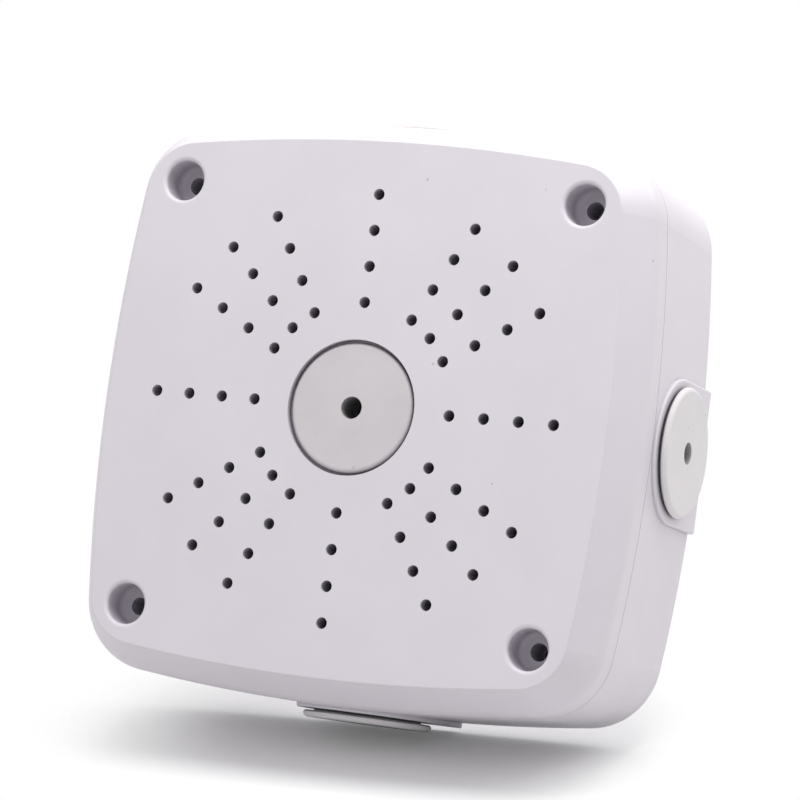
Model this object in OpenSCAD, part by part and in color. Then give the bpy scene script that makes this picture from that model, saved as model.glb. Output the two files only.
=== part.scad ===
// Surface-mounted junction box with bowed sides, in millimetres.
// Frame, as fixed to a wall: the origin is the centre of the rear face, the wall is on the +Y side,
// the cover faces -Y and +Z is up.
// The pieces are built lying on their back, with the box's depth along +Z, and mounted() stands them up.

/* [Outline] */
// Distance between the centres of two neighbouring corners' curves
corner_pitch = 96.22; // [92:0.1:140]
// Radius of the front face's corners
face_corner_r = 12; // [11:0.5:18]
// Flatness of the bowed sides: the larger, the straighter
bow_flatness = 17; // [15:2:25]

/* [Cover] */
// Depth of the cover, from the front face to the seam
cover_h = 16.3; // [14:0.1:20]
// Width of the sloping band round the front face, seen from the front
bevel_out = 5.4; // [3.5:0.1:7]
// Depth from the front face to the foot of the sloping band
bevel_h = 9.3; // [7:0.1:11]
// Height of the front face above the sloping band
face_step = 0.5; // [0.3:0.1:1]
// Thickness of the front face
face_t = 2.8; // [2.2:0.1:3.6]
// Rounding of the front face's edge
face_edge_r = 0.4; // [0.2:0.1:0.8]
// Rounding between the sloping band and the cover's rim
rim_r = 7; // [2:0.5:9]

/* [Base] */
// How much each side draws in from the seam to the wall
base_draft = 0.2; // [0:0.1:1]
// Thickness of the side walls
wall_t = 2.6; // [2.2:0.1:3.2]
// Thickness of the rear wall
rear_t = 2.8; // [2.4:0.1:4]
// Rounding of the rear edge, as a chamfer
rear_chamfer = 0.8; // [0.3:0.1:1.4]

/* [Seam and seal] */
// Width of the shadow line at the seam
seam_gap = 0.2; // [0.2:0.1:0.8]
// Depth of the shadow line
seam_depth = 0.3; // [0.3:0.1:1]
// Width of the land that carries the seal
land_w = 6; // [5.6:0.1:7]
// Thickness of the land in the base
land_t = 4; // [3.6:0.1:6]
// Thickness of the land in the cover
cover_land_t = 2; // [1.4:0.1:2.4]
// Width of the seal
seal_w = 2; // [1.6:0.1:2.4]
// Height of the pressed seal
seal_h = 1.2; // [0.8:0.1:1.6]
// Height of the ridge that presses the seal
ridge_h = 1; // [0.6:0.1:1.4]
// Gap between the seal and each side of its groove
seal_gap = 0.1; // [0.05:0.05:0.2]
// Gap between the ridge and each side of the groove
ridge_gap = 0.4; // [0.2:0.1:0.6]

/* [Cover screws] */
// How far each screw lies beyond the centre of the corner's curve, along each side
screw_out = 2.6; // [1.5:0.1:3.2]
// Diameter of the counterbore
counterbore_d = 9.6; // [8:0.1:10.4]
// Depth of the counterbore
counterbore_h = 7.8; // [4:0.1:10]
// Rounding of the counterbore's mouth
mouth_r = 1; // [0.4:0.1:1.4]
// Rounding between the counterbore's wall and its floor
floor_r = 1.4; // [0.4:0.1:2]
// Diameter of the clearance hole
screw_hole_d = 4.2; // [3.8:0.1:5.2]
// Wall of the tube round the counterbore
tube_wall = 2; // [1.4:0.1:2.2]
// Diameter of the base's posts at the seam
post_d = 10.4; // [8:0.2:11]
// Spread of a post's foot over its top
post_spread = 1.2; // [0:0.2:2]
// Diameter of the pilot hole in a post
pilot_d = 3.4; // [2.6:0.1:3.6]
// Depth of the pilot hole
pilot_h = 20; // [10:1:28]
// Thickness of the ribs that tie a post to the walls
rib_t = 2; // [1.4:0.1:3]
// Gap between the top of a rib and the land
rib_gap = 9; // [4:0.5:14]

/* [Camera holes] */
// Radius of the first ring of holes
ring_first = 24.6; // [24:0.1:27]
// Distance from one ring to the next
ring_step = 8.5; // [7.5:0.1:9]
// Number of rings
ring_count = 4; // [1:1:4]
// Diameter of the holes
hole_d = 2.7; // [2:0.1:3.4]
// Depth of the holes
hole_h = 7; // [4:0.5:9]
// Wall round each hole behind the face
stub_wall = 1.3; // [1:0.1:1.6]
// Thickness that closes each hole
stub_floor = 1.2; // [0.8:0.1:2]

/* [Cable plugs] */
// Diameter of a plug's head
plug_d = 30.6; // [24:0.2:31]
// Thickness of the head
plug_head_t = 1.6; // [1.4:0.1:2.4]
// Rounding of the head's edge
plug_edge_r = 1.1; // [0.4:0.1:1.5]
// Undercut below the head's edge
plug_undercut = 0.4; // [0.2:0.1:0.6]
// Width of the lip that the head has over the neck
plug_lip = 2.5; // [1.8:0.1:3]
// Width of the flange that snaps in behind the wall
plug_snap = 1.1; // [0.6:0.1:1.4]
// Length of the flange's straight part
plug_flange_t = 1.5; // [1:0.1:2]
// Length of the tapered end
plug_taper_h = 4; // [2:0.5:5]
// How much the tapered end narrows on each side
plug_taper = 1.8; // [0.5:0.1:2.5]
// Diameter of the cable hole
cable_d = 5.2; // [3:0.1:10]
// Wall that the plugs' necks pass through
web_t = 2.6; // [2:0.1:3]
// Gap between a neck and its opening
neck_gap = 0.1; // [0.05:0.05:0.2]
// Play that a neck has along its opening
plug_play = 0.5; // [0.1:0.1:0.8]
// Gap round a head that sits in a recess
seat_gap = 0.6; // [0.3:0.1:1.2]
// How far such a head lies below the face
plug_sink = 0.5; // [0.2:0.1:1]
// Wall of the cup round the recess
cup_wall = 2.2; // [1.8:0.1:3]

/* [Side bosses] */
// Width of the boss beyond the plug's head
boss_margin = 1.8; // [1.2:0.1:2.2]
// Distance from the rear face to a side plug's head
rear_margin = 2.6; // [0.6:0.1:4]
// Distance from a boss to the seam, which sets how deep the base is
seam_margin = 0.4; // [0.3:0.1:20]
// How far a boss stands out from the cover's rim
boss_proud = 0.7; // [0.4:0.1:3]
// Rounding of the boss's edge
boss_edge_r = 0.5; // [0.3:0.1:1]
// Gap round a plug's flange inside the wall
flange_gap = 0.4; // [0.2:0.1:0.6]

/* [Wall fixing] */
// Distance between the wall screw holes
wall_hole_pitch = 70; // [60:1:76]
// Diameter of the wall screw holes
wall_hole_d = 5; // [4:0.1:6]
// Diameter of the pad round each wall screw hole
pad_d = 12; // [10:0.5:14]
// Height of the pad above the rear wall
pad_h = 1.5; // [0.5:0.1:3]

/* [Hidden] */

// Colours of the moulded shell, the grey plug, the side plugs and the seal
shell_colour = [0.90, 0.90, 0.93];
grey_rubber = [0.72, 0.72, 0.73];
white_rubber = [0.86, 0.86, 0.87];
seal_colour = [0.30, 0.30, 0.32];

// Facets of the preview: a long bow, a corner, a post and a small hole
bow_facets = 256;
corner_facets = 96;
post_facets = 64;
hole_facets = 32;
// Length by which a cutter runs past the surface that it opens
past = 1;
// Length by which two fused solids run into each other
bite = 1;
// A rounding's cutter is the sliver between a sharp corner and a circle. The circle is a little larger than one
// that only touches the two faces, so that it crosses them at a clear angle.
rounding_ease = 1.002;
// How far that sliver's point lies outside the sharp corner, as a share of the corner's distance from the centre
rounding_reach = 0.5;
// Angle by which a swept arc runs past its ends before it is trimmed to them
spare_angle = 1;
// Length of a contact line, as a share of the triangle that gives its direction
contact_reach = 0.3;

// A base is as deep as its side bosses need
boss_r = plug_d / 2 + boss_margin;
boss_at = plug_d / 2 + rear_margin;
base_h = boss_at + boss_r + seam_margin;
box_depth = base_h + cover_h;
// Angles of the four quarters, and of the spokes of holes in a quarter
quarters = [0, 90, 180, 270];
spokes = [0, 30, 45, 60];

// The bowed outline: each side is an arc about a far centre, each corner an arc about its own centre, and the two
// centres and their point of contact lie on one line. An outline that is larger by g has the same centres and
// radii larger by g, so every ledge, slope and wall follows the front face's edge.
// That line rises contact[1] for contact[0] across. With contact_length they are a whole-number right triangle,
// which keeps the contact points exact.
contact = [bow_flatness, (pow(bow_flatness, 2) - 1) / 2];
contact_length = (pow(bow_flatness, 2) + 1) / 2;
outline_unit = round(1000 * corner_pitch / 2 / bow_flatness) / 1000;
corner_at = contact[0] * outline_unit;
bow_centre = contact[1] * outline_unit - corner_at;
side_bow_r = contact_length * outline_unit + face_corner_r;
face_half = side_bow_r - bow_centre;
bow_angle = atan(contact[0] / contact[1]);
// A point on the contact line, clear outside the box
contact_far = [corner_at, corner_at] + contact_reach * contact;

rim_half = face_half + bevel_out;
bevel_angle = atan((bevel_h - face_step) / bevel_out);
rim_tangent = rim_r * tan((90 - bevel_angle) / 2);
rim_z = box_depth - bevel_h;

land_in = bevel_out - land_w;
groove_w = seal_w + 2 * seal_gap;
groove_mid = bevel_out - land_w / 2;
groove_h = seal_h + ridge_h;
ridge_w = groove_w - 2 * ridge_gap;

screw_at = corner_at + screw_out;
tube_r = counterbore_d / 2 + tube_wall;

plug_r = plug_d / 2;
neck_r = plug_r - plug_lip;
flange_r = neck_r + plug_snap;
opening_r = neck_r + neck_gap;
recess_r = plug_r + seat_gap;
recess_h = plug_head_t + plug_sink;
cup_r = recess_r + cup_wall;

boss_face = rim_half + boss_proud;
// A boss starts in the wall, just outside the seal's groove
boss_root = face_half + groove_mid + groove_w / 2 + seal_gap;

// Stands a piece that was built on its back up against the wall
module mounted() {
    rotate([90, 0, 0]) children();
}

// Runs a section round the whole outline; its x is the distance outside the face's edge, its y the depth
module around_outline() {
    union() for (turn = quarters) rotate([0, 0, turn]) {
        intersection() {
            translate([0, -bow_centre, 0])
                rotate_extrude(
                    angle = 2 * (bow_angle + spare_angle), start = 90 - bow_angle - spare_angle, $fn = bow_facets
                ) translate([side_bow_r, 0]) children();
            contact_prism([
                [-corner_at, corner_at], [corner_at, corner_at],
                contact_far, [-contact_far[0], contact_far[1]]
            ]);
        }
        intersection() {
            translate([corner_at, corner_at, 0])
                rotate_extrude(angle = 90, $fn = corner_facets)
                    translate([face_corner_r, 0]) children();
            contact_prism([[corner_at, corner_at], contact_far, [contact_far[1], contact_far[0]]]);
        }
    }
}

// The space over one stretch of the outline, between two contact lines
module contact_prism(points) {
    translate([0, 0, -past]) linear_extrude(box_depth + 2 * past) polygon(points);
}

// A flat plate from z0 to z1 that fills the outline and runs into the ring round it
module bowed_plate(z0, z1) {
    translate([0, 0, z0]) linear_extrude(z1 - z0) intersection_for(turn = quarters)
        rotate([0, 0, turn]) translate([0, -bow_centre])
            circle(side_bow_r - face_corner_r + 2 * bite, $fn = bow_facets);
}

// Repeats a piece at the four screws
module at_screws(pitch) {
    for (x = [-1, 1], y = [-1, 1]) translate([x * pitch / 2, y * pitch / 2, 0]) children();
}

// Puts a piece that points along +X on the side that faces turn, at the height of the side plugs
module on_side(turn) {
    rotate([0, 0, turn]) translate([0, 0, boss_at]) children();
}

// The sliver between a sharp corner and its rounding, with the corner's two tangent points and its centre.
// Its point lies outside the corner, so the cut leaves no flap there.
module rounding_waste(before, corner, after, centre, r) {
    difference() {
        polygon([before, corner + rounding_reach * (corner - centre), after, centre]);
        translate(centre) circle(rounding_ease * r, $fn = corner_facets);
    }
}

// The same for a square edge whose corner is at the origin, with the material at its lower left
module square_edge_waste(r) {
    rounding_waste([-r, 0], [0, 0], [0, -r], [-r, -r], r);
}

module cover_section() {
    slope = [cos(bevel_angle), -sin(bevel_angle)];
    rim = [bevel_out, rim_z];
    inner_rim = bevel_out - wall_t;
    inner_crease = inner_rim - (box_depth - face_t - rim_z) / tan(bevel_angle);
    difference() {
        polygon([
            [-face_corner_r + bite, box_depth], [0, box_depth], [0, box_depth - face_step],
            rim, [bevel_out, base_h],
            [groove_mid + ridge_w / 2, base_h], [groove_mid + ridge_w / 2, base_h - ridge_h],
            [groove_mid - ridge_w / 2, base_h - ridge_h], [groove_mid - ridge_w / 2, base_h],
            [land_in, base_h], [land_in, base_h + cover_land_t],
            [inner_rim, base_h + cover_land_t], [inner_rim, rim_z],
            [inner_crease, box_depth - face_t], [-face_corner_r + bite, box_depth - face_t]
        ]);
        translate([0, box_depth]) square_edge_waste(face_edge_r);
        rounding_waste(
            rim - rim_tangent * slope, rim, rim - [0, rim_tangent],
            rim - [rim_r, rim_tangent], rim_r
        );
    }
}

module base_section() {
    foot = bevel_out - base_draft;
    shoulder = base_h - land_t;
    polygon([
        [-face_corner_r + bite, 0], [foot - rear_chamfer, 0], [foot, rear_chamfer],
        [bevel_out, base_h - seam_gap], [bevel_out - seam_depth, base_h - seam_gap],
        [bevel_out - seam_depth, base_h],
        [groove_mid + groove_w / 2, base_h], [groove_mid + groove_w / 2, base_h - groove_h],
        [groove_mid - groove_w / 2, base_h - groove_h], [groove_mid - groove_w / 2, base_h],
        [land_in, base_h], [land_in, shoulder],
        [bevel_out - wall_t, shoulder - (land_w - wall_t)],
        [foot - wall_t, rear_t], [-face_corner_r + bite, rear_t]
    ]);
}

// Half of a boss's cross-section, with its rounded edge; x is the width and y the height above the root
module boss_half_section() {
    height = boss_face - boss_root;
    difference() {
        square([boss_r, height]);
        translate([boss_r, height]) square_edge_waste(boss_edge_r);
    }
}

// A boss that is half round towards the cover and runs straight to the rear face
module side_boss() {
    translate([boss_root, 0, 0]) rotate([0, 90, 0]) {
        rotate_extrude(angle = 180, start = 90, $fn = corner_facets) boss_half_section();
        for (flip = [0, 1]) mirror([0, flip, 0])
            rotate([90, 0, 90]) linear_extrude(boss_at) boss_half_section();
    }
}

// The opening for a side plug, with room for its flange behind the web
module side_opening() {
    rotate([0, 90, 0]) {
        translate([0, 0, boss_root - land_w]) cylinder(h = 2 * land_w + boss_proud, r = opening_r, $fn = post_facets);
        translate([0, 0, boss_root - land_w])
            cylinder(h = boss_face - web_t - boss_root + land_w, r = flange_r + flange_gap, $fn = post_facets);
    }
}

// The cup behind a recessed plug, built down from the face at z = 0
module cup() {
    translate([0, 0, -recess_h - web_t]) cylinder(h = recess_h + web_t, r = cup_r, $fn = corner_facets);
}

module cup_cut() {
    translate([0, 0, -recess_h]) cylinder(h = recess_h + past, r = recess_r, $fn = corner_facets);
    translate([0, 0, -recess_h - web_t - past])
        cylinder(h = recess_h + web_t + past, r = opening_r, $fn = corner_facets);
}

// A plug with the underside of its head at z = 0 and its outer face up
module plug() {
    flange_z = -web_t - plug_play;
    taper_z = flange_z - plug_flange_t;
    end_z = taper_z - plug_taper_h;
    rotate_extrude($fn = corner_facets) difference() {
        polygon([
            [cable_d / 2, plug_head_t], [plug_r, plug_head_t], [plug_r, plug_undercut],
            [plug_r - plug_undercut, 0], [neck_r, 0], [neck_r, flange_z], [flange_r, flange_z],
            [flange_r, taper_z], [flange_r - plug_taper, end_z], [cable_d / 2, end_z]
        ]);
        translate([plug_r, plug_head_t]) square_edge_waste(plug_edge_r);
    }
}

// A side plug is pulled out until its flange meets the wall
module side_plug(turn) {
    mounted() on_side(turn) translate([boss_face + plug_play, 0, 0]) rotate([0, 90, 0]) plug();
}

// Repeats a piece at every camera hole
module at_camera_holes() {
    for (turn = quarters, spoke = spokes, ring = [0:ring_count - 1])
        rotate([0, 0, turn + spoke]) translate([ring_first + ring * ring_step, 0, 0]) children();
}

// The counterbore with its rounded mouth and floor, and the clearance hole below it
module screw_cut() {
    mouth = counterbore_d / 2 + mouth_r;
    rotate_extrude($fn = corner_facets) {
        difference() {
            translate([0, -counterbore_h]) square([counterbore_d / 2, counterbore_h + past]);
            translate([counterbore_d / 2, -counterbore_h]) mirror([0, 1]) square_edge_waste(floor_r);
        }
        difference() {
            translate([0, -mouth_r]) square([mouth, mouth_r + past]);
            translate([mouth, -mouth_r]) circle(mouth_r, $fn = corner_facets);
        }
    }
    translate([0, 0, -cover_h - past])
        cylinder(h = cover_h, d = screw_hole_d, $fn = hole_facets);
}

module cover() {
    color(shell_colour) mounted() difference() {
        union() {
            around_outline() cover_section();
            bowed_plate(box_depth - face_t, box_depth);
            at_screws(2 * screw_at) translate([0, 0, base_h])
                cylinder(h = cover_h - bite, r = tube_r, $fn = post_facets);
            translate([0, 0, box_depth]) cup();
            at_camera_holes() translate([0, 0, box_depth - hole_h - stub_floor])
                cylinder(h = hole_h + stub_floor - bite, d = hole_d + 2 * stub_wall, $fn = hole_facets);
        }
        at_screws(2 * screw_at) translate([0, 0, box_depth]) screw_cut();
        translate([0, 0, box_depth]) cup_cut();
        at_camera_holes() translate([0, 0, box_depth - hole_h])
            cylinder(h = hole_h + past, d = hole_d, $fn = hole_facets);
    }
}

// Two ribs that tie a post to the walls on either side of its corner
module post_ribs() {
    reach = sqrt(pow(face_corner_r + bevel_out - base_draft - wall_t / 2, 2) - pow(screw_out, 2)) - screw_out;
    top = base_h - land_t - rib_gap;
    for (turn = [0, 90]) rotate([0, 0, turn])
        translate([0, -rib_t / 2, rear_t - bite]) cube([reach, rib_t, top - rear_t + bite]);
}

module base() {
    color(shell_colour) mounted() difference() {
        union() {
            around_outline() base_section();
            bowed_plate(0, rear_t);
            for (turn = quarters) rotate([0, 0, turn]) translate([screw_at, screw_at, 0]) {
                translate([0, 0, bite])
                    cylinder(h = base_h - bite, d1 = post_d + post_spread, d2 = post_d, $fn = post_facets);
                post_ribs();
            }
            for (turn = quarters) on_side(turn) side_boss();
            mirror([0, 0, 1]) cup();
            at_screws(wall_hole_pitch) cylinder(h = rear_t + pad_h, d = pad_d, $fn = post_facets);
        }
        at_screws(2 * screw_at) translate([0, 0, base_h - pilot_h])
            cylinder(h = pilot_h + past, d = pilot_d, $fn = hole_facets);
        for (turn = quarters) on_side(turn) side_opening();
        mirror([0, 0, 1]) cup_cut();
        at_screws(wall_hole_pitch) translate([0, 0, -past])
            cylinder(h = rear_t + pad_h + 2 * past, d = wall_hole_d, $fn = hole_facets);
    }
}

module seal() {
    color(seal_colour) mounted() around_outline()
        translate([groove_mid - seal_w / 2, base_h - groove_h]) square([seal_w, seal_h]);
}

module centre_plug() {
    color(grey_rubber) mounted() translate([0, 0, box_depth - recess_h]) plug();
}

module right_plug() {
    color(white_rubber) side_plug(0);
}

module top_plug() {
    color(white_rubber) side_plug(90);
}

module left_plug() {
    color(white_rubber) side_plug(180);
}

module bottom_plug() {
    color(white_rubber) side_plug(270);
}

module rear_plug() {
    color(grey_rubber) mounted() translate([0, 0, recess_h]) mirror([0, 0, 1]) plug();
}

base();
cover();
seal();
centre_plug();
right_plug();
left_plug();
top_plug();
bottom_plug();
rear_plug();
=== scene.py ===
import math
import bpy
from mathutils import Matrix, Vector


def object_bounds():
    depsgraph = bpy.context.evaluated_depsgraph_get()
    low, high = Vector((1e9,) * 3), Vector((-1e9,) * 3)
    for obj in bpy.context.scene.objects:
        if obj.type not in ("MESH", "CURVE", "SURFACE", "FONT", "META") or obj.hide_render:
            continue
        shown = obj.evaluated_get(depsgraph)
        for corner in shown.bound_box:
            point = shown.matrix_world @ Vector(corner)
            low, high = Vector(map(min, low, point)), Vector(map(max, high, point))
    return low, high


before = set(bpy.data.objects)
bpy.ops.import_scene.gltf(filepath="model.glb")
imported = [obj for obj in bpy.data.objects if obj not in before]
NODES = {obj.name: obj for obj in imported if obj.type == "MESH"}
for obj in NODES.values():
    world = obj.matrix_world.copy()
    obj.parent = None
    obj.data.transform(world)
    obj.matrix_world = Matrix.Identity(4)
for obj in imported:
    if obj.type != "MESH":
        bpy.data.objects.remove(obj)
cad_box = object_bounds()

# The object is upright as it hangs on a wall: the cover faces -Y, +Z is up, lengths are in metres.
MM = 0.001

# Camera: to the right of the box and a little below it, and turned about its own axis, angles in degrees
CAMERA_AIM = Vector((12.07, -51.7, 2.68)) * MM
CAMERA_DISTANCE = 802 * MM
CAMERA_AZIMUTH = 23.29
CAMERA_ELEVATION = -6.15
CAMERA_ROLL = 7.59
CAMERA_LENS = 157.5
CAMERA_SENSOR = 36
CAMERA_REACH = (0.01, 50)

# Floor: seen at a low angle, and turned a little in the picture, so that the shadow lies level under the box
FLOOR_SIZE = 4
FLOOR_RISE = 12
FLOOR_ROLL = 2
FLOOR_GAP = 0.5 * MM
FLOOR_FADE = (0.04, 0.105)
FLOOR_GLOW = 0.08

# Lamps: name, place to the right, up and to the front of the box, width, power
LAMPS = (
    ("top", (0.05, 0.50, 0.05), 0.35, 1.90),
    ("top_back", (0.05, 0.45, -0.30), 0.35, 0.30),
    ("side_back", (0.45, 0.35, -0.20), 0.30, 0.72),
)

# Light that reaches the box from all round
TENT_STRENGTH = 0.62

# Rays that measure how enclosed a point is, for the painted shade in holes and gaps
HOLLOW_SHADE_RAYS = 3

# Heights of the plastic's orange peel and of the rubber's grain
PEEL_HEIGHT = 0.02 * MM
GRAIN_HEIGHT = 0.03 * MM


class Socket:
    """A shader value that takes part in Python sums; each operation adds its Math node."""

    def __init__(self, workshop, link):
        self.workshop = workshop
        self.link = link

    def maths(self, operation, *terms):
        places = {f"i{number}": term for number, term in enumerate(terms)}
        return self.workshop.node("Math", {"operation": operation}, **places)

    def __add__(self, other):
        return self.maths("ADD", self, other)

    def __radd__(self, other):
        return self.maths("ADD", other, self)

    def __sub__(self, other):
        return self.maths("SUBTRACT", self, other)

    def __rsub__(self, other):
        return self.maths("SUBTRACT", other, self)

    def __mul__(self, other):
        return self.maths("MULTIPLY", self, other)

    def __rmul__(self, other):
        return self.maths("MULTIPLY", other, self)

    def root(self):
        return self.maths("SQRT", self)

    def ramp(self, low, high):
        """0 below low, 1 above high and smooth between."""
        return self.workshop.node(
            "MapRange", {"interpolation_type": "SMOOTHSTEP"}, Value=self, From_Min=low, From_Max=high
        )


class Workshop:
    """Adds nodes to one node tree."""

    def __init__(self, tree):
        self.tree = tree

    def node(self, kind, settings=None, output=0, **inputs):
        """Adds a node: its settings first, then its inputs by name or as i0, i1; gives one of its outputs."""
        node = self.tree.nodes.new("ShaderNode" + kind)
        for key, value in (settings or {}).items():
            setattr(node, key, value)
        for key, value in inputs.items():
            self.feed(node.inputs[int(key[1:]) if key[1:].isdigit() else key.replace("_", " ")], value)
        return Socket(self, node.outputs[output])

    def feed(self, place, value):
        if isinstance(value, Socket):
            self.tree.links.new(value.link, place)
        else:
            place.default_value = value

    def seen_straight(self):
        """1 for what the camera sees itself, and in or through a shiny surface, and 0 for scattered light."""
        camera, glossy, transmission = (
            self.node("LightPath", output=kind)
            for kind in ("Is Camera Ray", "Is Glossy Ray", "Is Transmission Ray")
        )
        return camera + glossy + transmission


class Finish(Workshop):
    """A material under construction, with its Principled shader."""

    def __init__(self, name):
        self.material = bpy.data.materials.new(name)
        self.material.use_nodes = True
        super().__init__(self.material.node_tree)
        self.shader = self.tree.nodes["Principled BSDF"]

    def set(self, **inputs):
        for key, value in inputs.items():
            self.feed(self.shader.inputs[key.replace("_", " ")], value)

    def place(self):
        """Where a point of the surface lies in the object's frame."""
        return self.node("TexCoord", output="Object")

    def noise(self, scale, detail=2.0, roughness=0.5):
        return self.node("TexNoise", Vector=self.place(), Scale=scale, Detail=detail, Roughness=roughness)

    def blend(self, amount, first, second):
        return self.node("Mix", {"data_type": "RGBA"}, output=2, Factor=amount, i6=first, i7=second)

    def bump(self, height, distance):
        return self.node("Bump", Height=height, Distance=distance)

    def specks(self, scale, size):
        """1 on a few scattered specks of dust and 0 elsewhere; the size is a share of their spacing."""
        return 1 - self.node("TexVoronoi", Vector=self.place(), Scale=scale).ramp(size * 0.5, size)

    def hollow_shade(self, reach, openness):
        """0 on open surface and 1 deep in a hole or a gap, by the share of open sky within the reach; a mask
        for painted shade.
        """
        sky = self.node("AmbientOcclusion", {"samples": HOLLOW_SHADE_RAYS}, output="AO", Distance=reach)
        return 1 - sky.ramp(*openness)


def colour(red, green, blue):
    return (red, green, blue, 1.0)


def shell_finish():
    """White moulded plastic: soft gloss, a very faint mottle, a fine orange peel, and painted shade that
    darkens its holes, gaps and hollows.
    """
    finish = Finish("shell_plastic")
    mottle = finish.noise(38, 3, 0.6).ramp(0.3, 0.7)
    body = finish.blend(mottle, colour(0.750, 0.709, 0.765), colour(0.774, 0.732, 0.789))
    body = finish.blend(finish.specks(70, 0.03) * 0.4, body, colour(0.25, 0.23, 0.22))
    # Painted shade: a broad darkening in hollows and a strong one deep in holes and gaps, by how enclosed the
    # surface is
    body = finish.blend(finish.hollow_shade(14 * MM, (0.15, 0.65)) * 0.55, body, colour(0.20, 0.19, 0.24))
    body = finish.blend(finish.hollow_shade(3 * MM, (0.0, 0.32)), body, colour(0.16, 0.15, 0.18))
    peel = finish.noise(900, 2) * 0.6 + finish.noise(2600, 1) * 0.4
    finish.set(
        Base_Color=body, Roughness=finish.noise(120, 2) * 0.10 + 0.34, Specular_IOR_Level=0.35,
        Normal=finish.bump(peel, PEEL_HEIGHT)
    )
    return finish.material


def rubber_finish(name, dark, light):
    """Moulded rubber: matt, faintly blotched, with a few specks of dust, and painted shade in its bore and in
    the gaps round it.
    """
    finish = Finish(name)
    mottle = finish.noise(60, 4, 0.65).ramp(0.25, 0.75)
    body = finish.blend(mottle, dark, light)
    body = finish.blend(finish.specks(150, 0.06) * 0.4, body, colour(0.22, 0.21, 0.20))
    # Painted shade: darker where the rubber is enclosed, in its bore and the gaps round its head
    body = finish.blend(finish.hollow_shade(8 * MM, (0.05, 0.75)), body, colour(0.10, 0.10, 0.10))
    finish.set(
        Base_Color=body, Roughness=0.55, Specular_IOR_Level=0.4,
        Normal=finish.bump(finish.noise(1800, 2), GRAIN_HEIGHT)
    )
    return finish.material


def seal_finish():
    """Dark soft rubber cord, mottled and matt."""
    finish = Finish("seal_rubber")
    body = finish.blend(finish.noise(300, 3), colour(0.05, 0.05, 0.055), colour(0.08, 0.08, 0.085))
    finish.set(Base_Color=body, Roughness=0.7, Normal=finish.bump(finish.noise(2500, 2), GRAIN_HEIGHT))
    return finish.material


def dress(material, *names):
    """Gives the named pieces one material."""
    for name in names:
        mesh = NODES[name].data
        mesh.materials.clear()
        mesh.materials.append(material)


def make_camera():
    data = bpy.data.cameras.new("camera")
    data.lens = CAMERA_LENS
    data.sensor_width = CAMERA_SENSOR
    data.clip_start, data.clip_end = CAMERA_REACH
    camera = bpy.data.objects.new("camera", data)
    bpy.context.scene.collection.objects.link(camera)
    azimuth = math.radians(CAMERA_AZIMUTH)
    elevation = math.radians(CAMERA_ELEVATION)
    outward = Vector((
        math.sin(azimuth) * math.cos(elevation), -math.cos(azimuth) * math.cos(elevation), math.sin(elevation)
    ))
    turn = outward.to_track_quat("Z", "Y").to_matrix().to_4x4()
    roll = Matrix.Rotation(math.radians(CAMERA_ROLL), 4, "Z")
    camera.matrix_world = Matrix.Translation(CAMERA_AIM + CAMERA_DISTANCE * outward) @ turn @ roll
    bpy.context.scene.camera = camera
    return camera


def studio_axes(camera):
    """The floor's own directions: to the right in the picture, up from the floor, and towards the camera."""
    rise = math.radians(FLOOR_RISE)
    view = camera.matrix_world.to_3x3() @ Matrix.Rotation(math.radians(FLOOR_ROLL), 3, "Z")
    return Matrix((
        view @ Vector((1, 0, 0)),
        view @ Vector((0, math.cos(rise), math.sin(rise))),
        view @ Vector((0, -math.sin(rise), math.cos(rise))),
    )).transposed()


def floor_finish():
    """White where seen, greyer for the light it throws back; seen straight, it fades into the backdrop."""
    finish = Finish("pale_floor")
    x, y = (finish.node("SeparateXYZ", output=axis, i0=finish.place()) for axis in "XY")
    away = (x * x + y * y).root()
    straight = finish.seen_straight()
    finish.set(
        Base_Color=finish.blend(straight, colour(0.68, 0.68, 0.68), colour(0.95, 0.95, 0.95)),
        Emission_Color=finish.blend(straight, colour(0, 0, 0), colour(1, 1, 1)),
        Emission_Strength=FLOOR_GLOW, Roughness=0.9, Specular_IOR_Level=0.0,
        Alpha=1 - away.ramp(*FLOOR_FADE) * straight
    )
    return finish.material


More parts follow.
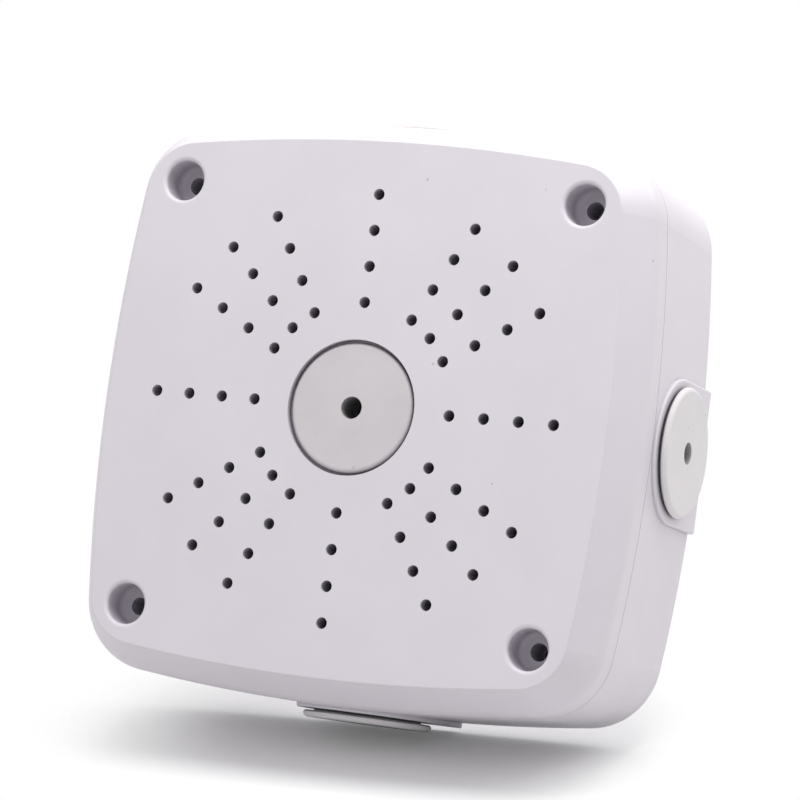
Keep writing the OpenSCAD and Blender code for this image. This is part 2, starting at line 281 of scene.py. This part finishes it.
def make_floor(studio):
    """A pale floor just below the lowest point of the box, with its middle under the box."""
    up = studio @ Vector((0, 1, 0))
    lowest = min(vertex.co.dot(up) for node in NODES.values() for vertex in node.data.vertices)
    middle = (Vector(cad_box[0]) + Vector(cad_box[1])) / 2
    foot = middle + up * (lowest - FLOOR_GAP - middle.dot(up))
    bpy.ops.mesh.primitive_plane_add(size=FLOOR_SIZE)
    floor = bpy.context.object
    floor.name = "floor"
    floor.matrix_world = Matrix.Translation(foot) @ studio.to_4x4() @ Matrix.Rotation(
        math.radians(-90), 4, "X"
    )
    floor.data.materials.append(floor_finish())


def make_lamp(studio, name, place, size, power):
    """A square lamp that faces the box."""
    data = bpy.data.lights.new(name, "AREA")
    data.shape = "SQUARE"
    data.size = size
    data.energy = power
    lamp = bpy.data.objects.new(name, data)
    bpy.context.scene.collection.objects.link(lamp)
    outward = studio @ Vector(place)
    lamp.matrix_world = Matrix.Translation(CAMERA_AIM + outward) @ outward.to_track_quat(
        "Z", "Y"
    ).to_matrix().to_4x4()


def make_world():
    """A white backdrop, and a dimmer tent of light round the box."""
    world = bpy.data.worlds.new("studio")
    bpy.context.scene.world = world
    world.use_nodes = True
    workshop = Workshop(world.node_tree)
    tent = workshop.node("Background", Color=colour(1, 1, 1), Strength=TENT_STRENGTH)
    backdrop = workshop.node("Background", Color=colour(1, 1, 1), Strength=1.0)
    mix = workshop.node("MixShader", i0=workshop.seen_straight(), i1=tent, i2=backdrop)
    workshop.feed(world.node_tree.nodes["World Output"].inputs["Surface"], mix)


dress(shell_finish(), "base", "cover")
dress(
    rubber_finish("grey_rubber", colour(0.635, 0.605, 0.630), colour(0.680, 0.648, 0.674)),
    "centre_plug", "rear_plug"
)
dress(
    rubber_finish("white_rubber", colour(0.765, 0.735, 0.752), colour(0.810, 0.778, 0.796)),
    "right_plug", "left_plug", "top_plug", "bottom_plug"
)
dress(seal_finish(), "seal")

studio = studio_axes(make_camera())
make_floor(studio)
make_world()
for lamp in LAMPS:
    make_lamp(studio, *lamp)

bpy.context.scene.view_settings.view_transform = "Standard"
